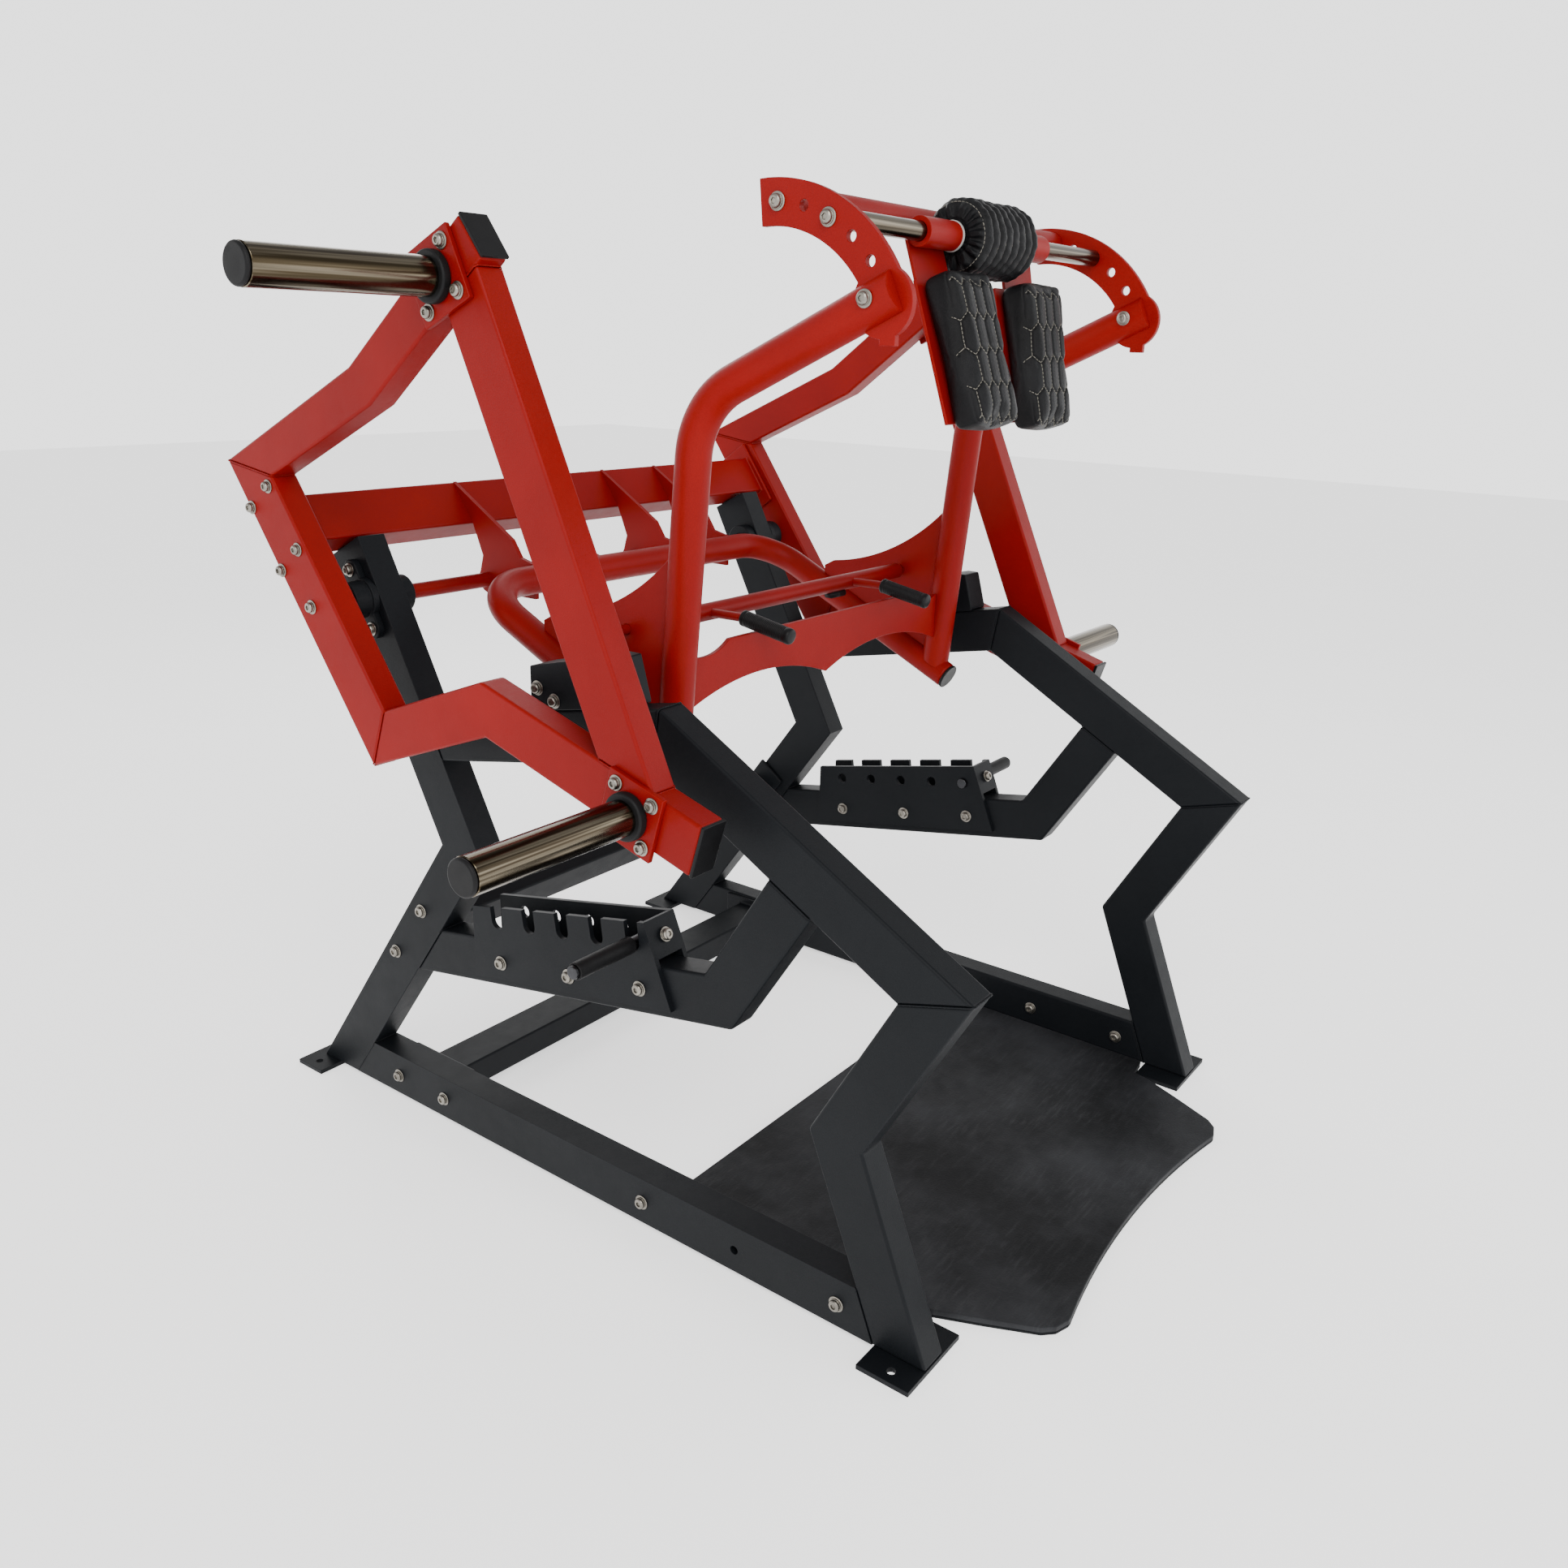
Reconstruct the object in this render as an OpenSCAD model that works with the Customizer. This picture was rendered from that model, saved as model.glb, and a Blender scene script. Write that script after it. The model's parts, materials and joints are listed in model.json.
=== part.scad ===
// Hack squat machine: a weight arm that turns on a rear cross shaft, on a
// zigzag side frame. Millimetres, +Z up, the lifter stands on the -Y side.
// Side parts are drawn on the -X (left) side and mirrored to the right.

/* [Frame] */
// outside width over the two side frames
frame_w = 1020; // [900:5:1100]
// thickness of the frame tube across the machine
tube_t = 50; // [40:1:60]
// height of the frame tube's face
tube_h = 80; // [60:1:100]
// thickness of the foot plates
foot_t = 8; // [5:1:12]
// radius of the floor anchor holes
anchor_r = 6.5; // [5:0.5:9]

/* [Weight arm] */
// thickness of the arm's box tube across the machine
arm_t = 45; // [40:1:60]
// distance of the arm tube's centre plane from the middle
arm_x = 588; // [560:1:620]
// radius of the weight pegs
peg_r = 25; // [24:0.5:26]
// reach of the peg ends from the middle of the machine
peg_end = 895; // [820:5:950]
// radius of the pivot shaft
shaft_r = 12.5; // [10:0.5:20]

/* [Shoulder yoke] */
// distance of the yoke tubes from the middle
yoke_x = 380; // [340:5:420]
// radius of the bent yoke tubes
yoke_r = 25.5; // [20:0.5:30]
// radius of the U tube
u_r = 24; // [20:0.5:30]
// radius of the chrome roller bar
bar_r = 12.5; // [10:0.5:15]
// radius of the roller pad
roller_r = 52; // [45:1:60]
// forward lean of the left shoulder pad in degrees
left_lean = 19; // [0:0.5:25]
// forward lean of the right shoulder pad in degrees
right_lean = 11.5; // [0:0.5:25]

/* [Stops] */
// radius of the stop pins
pin_r = 10; // [6:0.5:12]
// half width of the open slots in the outer rack plate
slot_r = 13; // [10:0.5:16]
// spacing of the rack slots along the rail
slot_gap = 73; // [60:1:90]
// running clearance of every shaft in its hole
run_gap = 0.06; // [0.03:0.01:0.1]

/* [Hidden] */
$fn = 64;

outer_x = frame_w / 2;
inner_x = outer_x - tube_t;
hh = tube_h / 2;

// side frame centre lines as [y, z]
front_foot = [-603, -47];
shin_bend = [-461, 306];
knee = [-598, 557];
crest = [-140, 810];
top_rear = [371, 711];
post_top = [520, 998];
waist = [279, 533];
rear_foot = [700, -40];
mid_rear = [430, 322];
mid_bend = [-254, 446];
mid_front = [-396, 673];
front_path = [front_foot, shin_bend, knee, crest, top_rear];
rear_path = [post_top, waist, rear_foot];
mid_path = [mid_rear, mid_bend, mid_front];

// weight arm outline, outer then inner corners as [y, z]
arm_out = [[90, 1462], [336, 1274], [661, 1126], [351, 690], [90, 787], [-287, 677]];
arm_in = [[51, 1411], [295, 1224], [547, 1110], [315, 784], [93, 867], [-308, 750]];
cap_t = 5;
strut = [[135, 1377], [64, 1410], [-231, 767], [-160, 735]];

pivot = [472, 920];
beam_c = [550, 1032];
beam_dir = [-0.5795, -0.815];
beam_nrm = [-0.815, 0.5795];
beam_ang = atan2(beam_dir[1], beam_dir[0]);
peg1 = [129, 1389];
peg2 = [-193, 741];
peg_tilt = [65.3, 16.3];
bolt_half = 32;

// U tube: a flat bend that slopes down to the front
u_back = [355, 934];
u_slope = 25.2;
u_len = 489;
u_bend = 90;

// yoke tube: straight, bent forward, straight
yoke_foot = [-57, 715];
yoke_lean = 5;
yoke_low = 458;
yoke_turn = 60;
yoke_high = 272;
yoke_bend_r = 120;

// crescent plates
cres_c = [-225, 1295];
cres_ri = 163;
cres_ro = 218;
cres_rh = 191;
cres_t = 10;
cres_x = 378;
cres_pin = [-392, 1371];
hole_a = [92.5, 104.5, 116.5, 128.5, 140.5];
function on_cres(i) = cres_c + cres_rh * [cos(hole_a[i]), sin(hole_a[i])];
bar = on_cres(2);
stay = on_cres(0);

// release bar, its latch sectors and the catch tongues
rel = [28, 916];
rel_r = 14;
spindle_r = 8;
latch_r = 56;
latch_x = 408;
latch_t = 8;
grip_x = 200;
grip_in = [-46, 917];
grip_out = [-140, 900];

// stop rack: tab line and slot seats both slope with the rail
slot_y0 = -101;
function rack_z(y) = 532 - 0.2116 * (y + 122);
function seat_z(y) = 493 - 0.1836 * (y - slot_y0);
pin_c = [slot_y0, seat_z(slot_y0)];
rack_face = [[-175, 406], [249, 330], [249, rack_z(249)], [-122, 532]];

function len2(v) = sqrt(v * v);
function dir2(a, b) = (b - a) / len2(b - a);
function nrm2(d) = [-d[1], d[0]];
function d_in(p, i) = i > 0 ? dir2(p[i - 1], p[i]) : dir2(p[0], p[1]);
function d_out(p, i) = i < len(p) - 1 ? dir2(p[i], p[i + 1]) : d_in(p, i);
// point i of a path moved sideways by s, mitred at the bends
function mit(p, i, s) =
    let (a = nrm2(d_in(p, i)), b = nrm2(d_out(p, i)))
    p[i] + (a + b) * s / (1 + a * b);
function strip(p, i, j, s) = concat(
    [for (k = [i:j]) mit(p, k, s)],
    [for (k = [j:-1:i]) mit(p, k, -s)]);
function rel_ang(p, q) = atan2(q[1] - p[1], q[0] - p[0]);

// a [y, z] outline pushed out along +X from x0
module slab(x0, t) {
    translate([x0, 0, 0])
        rotate([90, 0, 90])
            linear_extrude(t)
                children();
}

// a round bar along X
module xbar(p, r, x0, x1) {
    translate([x0, p[0], p[1]])
        rotate([0, 90, 0])
            cylinder(r = r, h = x1 - x0);
}

// a round bar between two [y, z] points
module rod(p, q, r) {
    translate([0, p[0], p[1]])
        rotate([90, 0, 90])
            rotate([0, 0, rel_ang(p, q)])
                rotate([0, 90, 0])
                    cylinder(r = r, h = len2(q - p));
}

module to_right() {
    mirror([1, 0, 0])
        children();
}

module both() {
    children();
    to_right()
        children();
}

// a bolt head with its washer, standing on face x and pointing along s
module head(p, x, s, r = 9) {
    xbar(p, r + 3, min(x, x + s * 2), max(x, x + s * 2));
    xbar(p, r, min(x + s * 2, x + s * 9), max(x + s * 2, x + s * 9));
}

module ground() {
    translate([-2000, foot_t - 1000])
        square([4000, 1000]);
}

// ---- side frames ----
module tube2(p, i, j) {
    polygon(strip(p, i, j, hh));
}

module base_rail() {
    slab(-outer_x, tube_t)
        difference() {
            translate([-600, foot_t])
                square([1270, tube_h]);
            tube2(front_path, 0, 2);
            tube2(rear_path, 0, 2);
            translate([-900, 0])
                square([320, 200]);
            translate([640, 0])
                square([200, 200]);
        }
}

module left_base_rail() {
    color([0.13, 0.14, 0.15])
        difference() {
            base_rail();
            xbar([-291, 46], 7, -outer_x - 5, -inner_x + 5);
        }
}

module right_base_rail() {
    color([0.13, 0.14, 0.15])
        to_right()
            base_rail();
}

module front_leg() {
    color([0.15, 0.16, 0.17])
        slab(-outer_x, tube_t)
            difference() {
                tube2(front_path, 0, 2);
                ground();
            }
}

module diagonal_rail() {
    color([0.15, 0.16, 0.17])
        slab(-outer_x, tube_t)
            tube2(front_path, 2, 3);
}

module top_rail() {
    color([0.14, 0.15, 0.16])
        slab(-outer_x, tube_t)
            difference() {
                tube2(front_path, 3, 4);
                tube2(rear_path, 0, 2);
            }
}

module rear_leg() {
    color([0.15, 0.16, 0.17])
        difference() {
            slab(-outer_x, tube_t)
                difference() {
                    tube2(rear_path, 0, 2);
                    ground();
                }
            xbar(pivot, shaft_r + 4, -outer_x - 5, -inner_x + 5);
        }
}

module mid_rail() {
    color([0.14, 0.15, 0.16])
        slab(-outer_x, tube_t)
            difference() {
                tube2(mid_path, 0, 2);
                tube2(rear_path, 0, 2);
                tube2(front_path, 2, 3);
            }
}

module left_front_leg() { front_leg(); }
module right_front_leg() { to_right() front_leg(); }
module left_diagonal_rail() { diagonal_rail(); }
module right_diagonal_rail() { to_right() diagonal_rail(); }
module left_top_rail() { top_rail(); }
module right_top_rail() { to_right() top_rail(); }
module left_rear_leg() { rear_leg(); }
module right_rear_leg() { to_right() rear_leg(); }
module left_mid_rail() { mid_rail(); }
module right_mid_rail() { to_right() mid_rail(); }

// cross tubes with a bolted flange at each end
module lower_cross_tube() {
    color([0.15, 0.16, 0.17]) {
        translate([-inner_x + 8, 386, 20])
            cube([2 * inner_x - 16, 80, 50]);
        both()
            translate([-inner_x, 346, 12])
                cube([8, 160, 72]);
    }
}

module upper_cross_tube() {
    color([0.15, 0.16, 0.17])
        translate([0, 430, 351])
            rotate([rel_ang(waist, rear_foot), 0, 0]) {
                translate([-inner_x + 8, -40, -25])
                    cube([2 * inner_x - 16, 80, 50]);
                both()
                    translate([-inner_x, -80, -35])
                        cube([8, 160, 70]);
            }
}

module foot_plate(y0, y1, hole_y) {
    difference() {
        translate([-554, y0, 0])
            cube([138, y1 - y0, foot_t]);
        translate([-534, hole_y, -1])
            cylinder(r = anchor_r, h = foot_t + 2);
    }
}

module foot_plates() {
    color([0.2, 0.21, 0.22])
        both() {
            foot_plate(-624, -540, -585);
            foot_plate(668, 736, 700);
        }
}

rail_bolts = [488, 365, -106, -476];
leg_bolts = [[391, 400], [468, 302]];
rack_bolts = [[186, 371], [33, 397], [-114, 425]];
bearing_bolts = [[495, 964], [449, 876]];
catch_bolts = [[84, 842], [50, 828]];

module frame_bolts() {
    color([0.6, 0.58, 0.53]) {
        both() {
            for (y = rail_bolts)
                head([y, 46], -outer_x, -1);
            for (p = leg_bolts)
                head(p, -outer_x, -1);
            for (p = rack_bolts) {
                head(p, -outer_x - 8, -1);
                head(p, -inner_x + 8, 1);
            }
            for (p = bearing_bolts)
                head(p, -outer_x - 12, -1, 8);
            for (p = catch_bolts)
                head(p, -outer_x - 2, -1, 8);
            head([-476, 46], -inner_x, 1);
            translate([-485, -136, 507])
                rotate([66.9, 0, 0])
                    cylinder(r = 9, h = 8);
        }
        head([-291, 46], outer_x, 1);
        head([-291, 46], inner_x, -1);
    }
}

// ---- stop racks ----
module slot2(y) {
    z = seat_z(y);
    mid = z + slot_r - pin_r;
    translate([y, mid])
        circle(r = slot_r + run_gap);
    polygon([
        [y - slot_r - run_gap, mid],
        [y + slot_r + run_gap, mid],
        [y + slot_r + 9, z + 60],
        [y - slot_r + 7, z + 60]]);
}

// the outer plate has open slots, the inner plate a round hole at each seat
module stop_rack() {
    color([0.12, 0.13, 0.13])
        difference() {
            union() {
                slab(-outer_x - 8, 8)
                    difference() {
                        polygon(rack_face);
                        for (i = [0:4])
                            slot2(slot_y0 + i * slot_gap);
                    }
                slab(-inner_x, 8)
                    polygon(rack_face);
                slab(-outer_x - 8, tube_t + 16)
                    polygon([[-145, 478], [-138, 478], [-115, 530], [-122, 532]]);
            }
            for (i = [0:4])
                xbar([slot_y0 + i * slot_gap, seat_z(slot_y0 + i * slot_gap)], pin_r + run_gap,
                    -inner_x - 2, -inner_x + 12);
        }
}

module left_stop_rack() { stop_rack(); }
module right_stop_rack() { to_right() stop_rack(); }

module stop_pin() {
    color([0.75, 0.76, 0.78])
        xbar(pin_c, pin_r, -640, -446);
}

module pin_sleeve() {
    color([0.08, 0.08, 0.08])
        difference() {
            xbar(pin_c, 13, -634, -522);
            xbar(pin_c, pin_r, -641, -445);
        }
}

module left_stop_pin() { stop_pin(); }
module right_stop_pin() { to_right() stop_pin(); }
module left_pin_sleeve() { pin_sleeve(); }
module right_pin_sleeve() { to_right() pin_sleeve(); }

// ---- catch brackets on the top rails ----
module catch_bracket() {
    color([0.1, 0.1, 0.11]) {
        slab(-outer_x - 2, tube_t + 4)
            difference() {
                polygon([[100, 790], [-86, 790], [-88, 846], [-70, 908], [-48, 908], [100, 872]]);
                tube2(front_path, 3, 4);
                polygon([[120, 700], [120, mit(front_path, 3, -hh)[1] - 52],
                    mit(front_path, 3, -hh), [-200, 700]]);
            }
        translate([-inner_x - 3, -18, 844])
            cube([inner_x + 3 - latch_x + 1, 24, 20]);
    }
}

module left_catch_bracket() { catch_bracket(); }
module right_catch_bracket() { to_right() catch_bracket(); }

// ---- flange bearings ----
module bearing() {
    a = rel_ang(bearing_bolts[1], bearing_bolts[0]);
    color([0.09, 0.09, 0.1])
        difference() {
            union() {
                slab(-outer_x - 12, 12)
                    translate(pivot)
                        rotate(a) {
                            circle(r = 34);
                            for (s = [-1, 1])
                                translate([s * 49.6, 0])
                                    circle(r = 16);
                            square([99, 32], center = true);
                        }
                xbar(pivot, 30, -outer_x - 40, -outer_x - 12);
                xbar(pivot, 30, -inner_x, -inner_x + 22);
            }
            xbar(pivot, shaft_r + run_gap, -outer_x - 50, -inner_x + 30);
        }
}

module left_bearing() { bearing(); }
module right_bearing() { to_right() bearing(); }

// ---- foot platform ----
mat_half = [[0, -100], [458, -100], [458, -534], [410, -540], [402, -572],
    [372, -640], [338, -712], [322, -728], [298, -736]];

module mat2() {
    for (s = [0, 1])
        mirror([s, 0])
            difference() {
                polygon(concat(mat_half, [[0, -736]]));
                translate([0, -736 + 28 - 1530])
                    circle(r = 1530, $fn = 128);
            }
}

module foot_platform() {
    color([0.25, 0.26, 0.27])
        linear_extrude(4)
            mat2();
}

module platform_mat() {
    color([0.1, 0.1, 0.1])
        translate([0, 0, 4])
            linear_extrude(10)
                mat2();
}

// ---- weight arm box tubes ----
module arm_quad(i) {
    polygon([arm_out[i], arm_out[i + 1], arm_in[i + 1], arm_in[i]]);
}

module red(t = 0) {
    color([0.72 - t, 0.16, 0.13])
        children();
}

module arm_slab() {
    slab(-arm_x - arm_t / 2, arm_t)
        children();
}

module rear_post() {
    red()
        arm_slab()
            arm_quad(2);
}

module upper_arm_tube() {
    red(0.02)
        arm_slab() {
            arm_quad(0);
            arm_quad(1);
        }
}

module lower_arm_tube() {
    red(0.04)
        arm_slab() {
            arm_quad(3);
            arm_quad(4);
        }
}

module arm_strut() {
    red(0.06)
        arm_slab()
            difference() {
                polygon(strut);
                arm_quad(0);
                arm_quad(4);
            }
}

module left_rear_post() { rear_post(); }
module right_rear_post() { to_right() rear_post(); }
module left_upper_arm_tube() { upper_arm_tube(); }
module right_upper_arm_tube() { to_right() upper_arm_tube(); }
module left_lower_arm_tube() { lower_arm_tube(); }
module right_lower_arm_tube() { to_right() lower_arm_tube(); }
module left_strut() { arm_strut(); }
module right_strut() { to_right() arm_strut(); }

module end_cap(a, b) {
    d = nrm2(dir2(a, b)) * cap_t;
    arm_slab()
        polygon([a, b, b + d, a + d]);
}

module u_place() {
    translate([0, u_back[0], u_back[1]])
        rotate([u_slope, 0, 0])
            children();
}

module tube_end_caps() {
    color([0.08, 0.08, 0.08])
        both() {
            end_cap(arm_in[0], arm_out[0]);
            end_cap(arm_out[5], arm_in[5]);
            u_place()
                translate([-yoke_x, -u_len, 0])
                    rotate([90, 0, 0])
                        cylinder(r = u_r, h = cap_t);
        }
}

// ---- cross beam, its gussets and the pivot shaft ----
module rear_beam() {
    red(0.03)
        translate([0, beam_c[0], beam_c[1]])
            rotate([beam_ang, 0, 0]) {
                translate([-arm_x + arm_t / 2 + 8, -40, -25])
                    cube([2 * arm_x - arm_t - 16, 80, 50]);
                both()
                    translate([-arm_x + arm_t / 2, -70, -36])
                        cube([8, 140, 72]);
            }
}

beam_hi = beam_c + 25 * beam_nrm - 40 * beam_dir;
beam_lo = beam_c + 25 * beam_nrm + 40 * beam_dir;
gusset_x = [-255, -106, 106, 255];

module beam_gusset2() {
    difference() {
        union() {
            polygon([beam_hi, beam_lo, [484, 960], [493, 930], [455, 900], [356, 900], [356, 958],
                [391, 966], [410, 994]]);
            polygon([beam_hi, [410, 994], [440, 1006], [478, 1026], [512, 1050]]);
            translate(pivot)
                circle(r = 24);
        }
        translate(pivot)
            circle(r = shaft_r);
        translate(u_back)
            circle(r = u_r);
    }
}

module beam_gussets() {
    red(0.05)
        for (x = gusset_x)
            slab(x - 4, 8)
                beam_gusset2();
}

module pivot_shaft() {
    red(0.08)
        xbar(pivot, shaft_r, -arm_x + arm_t / 2, arm_x - arm_t / 2);
}

// ---- U tube and yoke ----
module u_leg(extra = 0) {
    u_place()
        translate([-yoke_x, -u_bend, 0])
            rotate([90, 0, 0])
                cylinder(r = u_r + extra, h = u_len - u_bend);
}

module u_tube() {
    red(0.01) {
        u_place()
            translate([-yoke_x + u_bend, 0, 0])
                rotate([0, 90, 0])
                    cylinder(r = u_r, h = 2 * (yoke_x - u_bend));
        both() {
            u_leg();
            u_place()
                translate([-yoke_x + u_bend, -u_bend, 0])
                    rotate([0, 0, 90])
                        rotate_extrude(angle = 90)
                            translate([u_bend, 0])
                                circle(r = u_r);
        }
    }
}

module yoke_place() {
    translate([-yoke_x, yoke_foot[0], yoke_foot[1]])
        rotate([yoke_lean, 0, 0])
            children();
}

module yoke_tube() {
    red()
        difference() {
            yoke_place() {
                cylinder(r = yoke_r, h = yoke_low + 0.6);
                translate([0, -yoke_bend_r, yoke_low]) {
                    rotate([90, 0, 90])
                        rotate_extrude(angle = yoke_turn)
                            translate([yoke_bend_r, 0])
                                circle(r = yoke_r - 0.02);
                    rotate([yoke_turn, 0, 0])
                        translate([0, yoke_bend_r, -0.6])
                            cylinder(r = yoke_r, h = yoke_high);
                }
            }
            u_leg();
            u_place()
                translate([-yoke_x - 50, -u_len - 50, -90])
                    cube([100, u_len, 100]);
            xbar(cres_pin, 42.2, -cres_x - cres_t / 2 - 0.2, -cres_x + cres_t / 2 + 0.2);
        }
}

module left_yoke_tube() { yoke_tube(); }
module right_yoke_tube() { to_right() yoke_tube(); }

// plate that ties each yoke tube to the U tube, with one long concave edge
module side_gusset2() {
    difference() {
        polygon([[-74, 790], [-88, 1046], [-57, 1046], [204, 905], [204, 862], [-40, 745]]);
        translate([226, 1314])
            circle(r = 400, $fn = 128);
        translate(rel)
            circle(r = spindle_r + run_gap);
    }
}

module side_gussets() {
    red(0.04)
        both()
            difference() {
                slab(-yoke_x - 4, 8)
                    side_gusset2();
                u_leg();
                yoke_place()
                    cylinder(r = yoke_r, h = yoke_low);
            }
}

module front_plate2() {
    difference() {
        translate([-yoke_x + yoke_r, 792])
            square([2 * (yoke_x - yoke_r), 105]);
        for (s = [-1, 1]) {
            translate([s * 180, 833 - 507])
                circle(r = 507, $fn = 128);
            translate([s * 318, 978])
                circle(r = 100);
        }
    }
}

module front_plate() {
    red(0.1)
        translate([0, -60, 0])
            rotate([90, 0, 0])
                linear_extrude(8)
                    front_plate2();
}

module crescent2() {
    difference() {
        union() {
            intersection() {
                difference() {
                    translate(cres_c)
                        circle(r = cres_ro, $fn = 128);
                    translate(cres_c)
                        circle(r = cres_ri, $fn = 128);
                }
                polygon([cres_c, cres_c + [28, 300], cres_c + [-300, 300], cres_c + [-300, 128]]);
            }
            translate(cres_pin)
                circle(r = 42);
            translate([-412, 1322])
                square([22, 30]);
        }
        for (i = [1, 3, 4])
            translate(on_cres(i))
                circle(r = 7);
    }
}

module crescent() {
    red(0.02)
        slab(-cres_x - cres_t / 2, cres_t)
            crescent2();
}

module left_crescent() { crescent(); }
module right_crescent() { to_right() crescent(); }

module stay_tube() {
    red(0.05)
        xbar(stay, 21, -cres_x + cres_t / 2, cres_x - cres_t / 2);
}

module chrome_bar() {
    color([0.8, 0.81, 0.83])
        xbar(bar, bar_r, -cres_x + cres_t / 2, cres_x - cres_t / 2);
}

// ---- weight pegs ----
flange_x = arm_x + arm_t / 2;

module at_pegs() {
    both() {
        translate([0, peg1[0], peg1[1]])
            rotate([peg_tilt[0], 0, 0])
                children();
        translate([0, peg2[0], peg2[1]])
            rotate([peg_tilt[1], 0, 0])
                children();
    }
}

module peg_flanges() {
    red(0.03)
        at_pegs()
            translate([-flange_x - 8, -48, -48])
                cube([8, 96, 96]);
}

module peg_collars() {
    color([0.08, 0.08, 0.08])
        at_pegs() {
            xbar([0, 0], 33, -flange_x - 22, -flange_x - 8);
            xbar([0, 0], peg_r - 0.5, -peg_end, -peg_end + 7);
        }
}

module weight_pegs() {
    color([0.8, 0.8, 0.82])
        at_pegs()
            xbar([0, 0], peg_r, -peg_end + 7, -flange_x - 22);
}

beam_bolts = [[557, 1094], [605, 1058], [495, 1005], [541, 968]];

module arm_bolts() {
    color([0.62, 0.6, 0.55]) {
        at_pegs()
            for (s = [-1, 1], t = [-1, 1])
                head([s * bolt_half, t * bolt_half], -flange_x - 8, -1, 8);
        both() {
            for (p = beam_bolts)
                head(p, -flange_x, -1, 7.5);
            head(pivot, -flange_x, -1, 8);
            head(stay, -cres_x - cres_t / 2, -1, 8.5);
            head(bar, -cres_x - cres_t / 2, -1, 8.5);
            head([-382, 1374], -yoke_x - yoke_r - 0.3, -1, 8);
            head([-382, 1374], -yoke_x + yoke_r + 0.3, 1, 8);
        }
    }
}

// ---- pads ----
module pad_place(lean) {
    translate([0, bar[0], bar[1]])
        rotate([-lean, 0, 0])
            children();
}

module pad_hanger(lean) {
    red(0.03)
        difference() {
            union() {
                xbar(bar, 19.5, -175, -87);
                pad_place(lean) {
                    translate([-178, 17, -57])
                        cube([90, 5, 62]);
                    translate([-180, 17, -250])
                        cube([124, 5, 193]);
                }
            }
            xbar(bar, bar_r + run_gap, -200, -60);
        }
}

module shoulder_pad(lean) {
    color([0.06, 0.06, 0.065])
        pad_place(lean)
            translate([-118, 17, -160])
                rotate([90, 0, 0])
                    linear_extrude(53) {
                        square([120, 186], center = true);
                        square([96, 210], center = true);
                        for (s = [-1, 1], t = [-1, 1])
                            translate([s * 48, t * 93])
                                circle(r = 12);
                    }
}

module left_pad_hanger() { pad_hanger(left_lean); }
module right_pad_hanger() { to_right() pad_hanger(right_lean); }
module left_shoulder_pad() { shoulder_pad(left_lean); }
module right_shoulder_pad() { to_right() shoulder_pad(right_lean); }

module roller_pad() {
    color([0.05, 0.05, 0.055])
        translate([0, bar[0], bar[1]])
            rotate([0, 90, 0])
                rotate_extrude()
                    polygon([[bar_r + run_gap, -86], [24, -86], [40, -82], [49, -72], [roller_r, -58],
                        [roller_r, 58], [49, 72], [40, 82], [24, 86], [bar_r + run_gap, 86]]);
}

// ---- release bar with latch sectors and grips ----
module latch2() {
    translate(rel)
        circle(r = 12);
    intersection() {
        translate(rel)
            circle(r = latch_r);
        polygon([rel, rel + 90 * [cos(-83), sin(-83)], rel + 90 * [cos(-64), sin(-64)],
            rel + 90 * [cos(-42), sin(-42)]]);
    }
}

module release_bar() {
    red(0.01) {
        xbar(rel, rel_r, -360, 360);
        both() {
            translate([-360, rel[0], rel[1]])
                sphere(r = rel_r);
            xbar(rel, spindle_r, -latch_x - latch_t, -355);
            slab(-latch_x - latch_t, latch_t)
                latch2();
            translate([-grip_x, 0, 0])
                difference() {
                    rod(rel, grip_in + 4 * dir2(rel, grip_in), 7);
                    rod(grip_in, grip_out, 13);
                }
        }
    }
}

module handle_grips() {
    color([0.06, 0.06, 0.06]) {
        both()
            translate([-grip_x, 0, 0])
                rod(grip_in, grip_out, 13);
        difference() {
            translate([136, rel[0] - 9, rel[1] - rel_r - 9])
                cube([46, 18, 11]);
            xbar(rel, rel_r, 100, 220);
        }
    }
}

left_base_rail();
right_base_rail();
left_front_leg();
right_front_leg();
left_diagonal_rail();
right_diagonal_rail();
left_top_rail();
right_top_rail();
left_rear_leg();
right_rear_leg();
left_mid_rail();
right_mid_rail();
lower_cross_tube();
upper_cross_tube();
foot_plates();
frame_bolts();
left_stop_rack();
right_stop_rack();
left_catch_bracket();
right_catch_bracket();
left_bearing();
right_bearing();
foot_platform();
platform_mat();
left_stop_pin();
right_stop_pin();
left_pin_sleeve();
right_pin_sleeve();
left_rear_post();
right_rear_post();
left_upper_arm_tube();
right_upper_arm_tube();
left_lower_arm_tube();
right_lower_arm_tube();
left_strut();
right_strut();
tube_end_caps();
rear_beam();
beam_gussets();
pivot_shaft();
u_tube();
left_yoke_tube();
right_yoke_tube();
side_gussets();
front_plate();
left_crescent();
right_crescent();
stay_tube();
chrome_bar();
weight_pegs();
peg_collars();
peg_flanges();
arm_bolts();
left_pad_hanger();
right_pad_hanger();
left_shoulder_pad();
right_shoulder_pad();
roller_pad();
release_bar();
handle_grips();
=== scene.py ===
import bpy
import bmesh
import json
import math
import numpy as np
from mathutils import Matrix, Vector
from mathutils.bvhtree import BVHTree


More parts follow.
